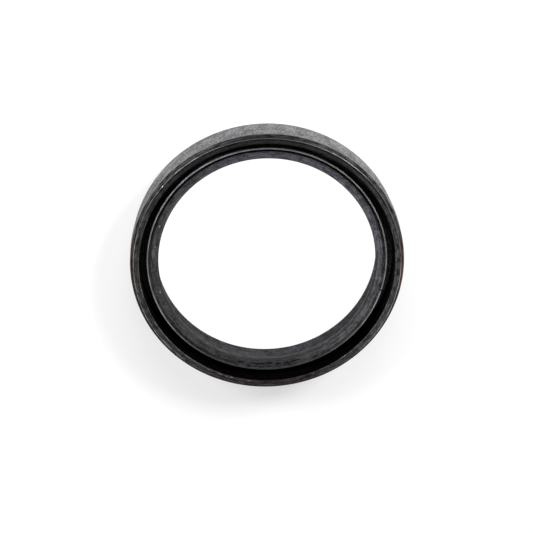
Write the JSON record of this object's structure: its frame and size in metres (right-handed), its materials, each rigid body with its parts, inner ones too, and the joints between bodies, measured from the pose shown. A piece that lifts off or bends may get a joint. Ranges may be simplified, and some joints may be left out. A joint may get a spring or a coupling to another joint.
{
  "type": "rotary shaft oil seal",
  "caption": "Moulded rubber ring that seals a rotating shaft in a housing bore, with a spring-loaded sealing lip, a dust lip and a press-fit outer wall.",
  "frame": {"origin": "centre of the back face, on the shaft's axis", "axes": "+Z along the shaft's axis, from the flat back (air side) to the grooved front (oil side)"},
  "size_m": [0.0522, 0.0522, 0.008],
  "materials": {
    "rubber": "matt moulded black rubber, with a faintly mottled outer wall",
    "spring_steel": "drawn spring wire"
  },
  "bodies": {
    "root": {"rubber_body": "rubber", "garter_spring": "spring_steel"}
  },
  "joints": []
}
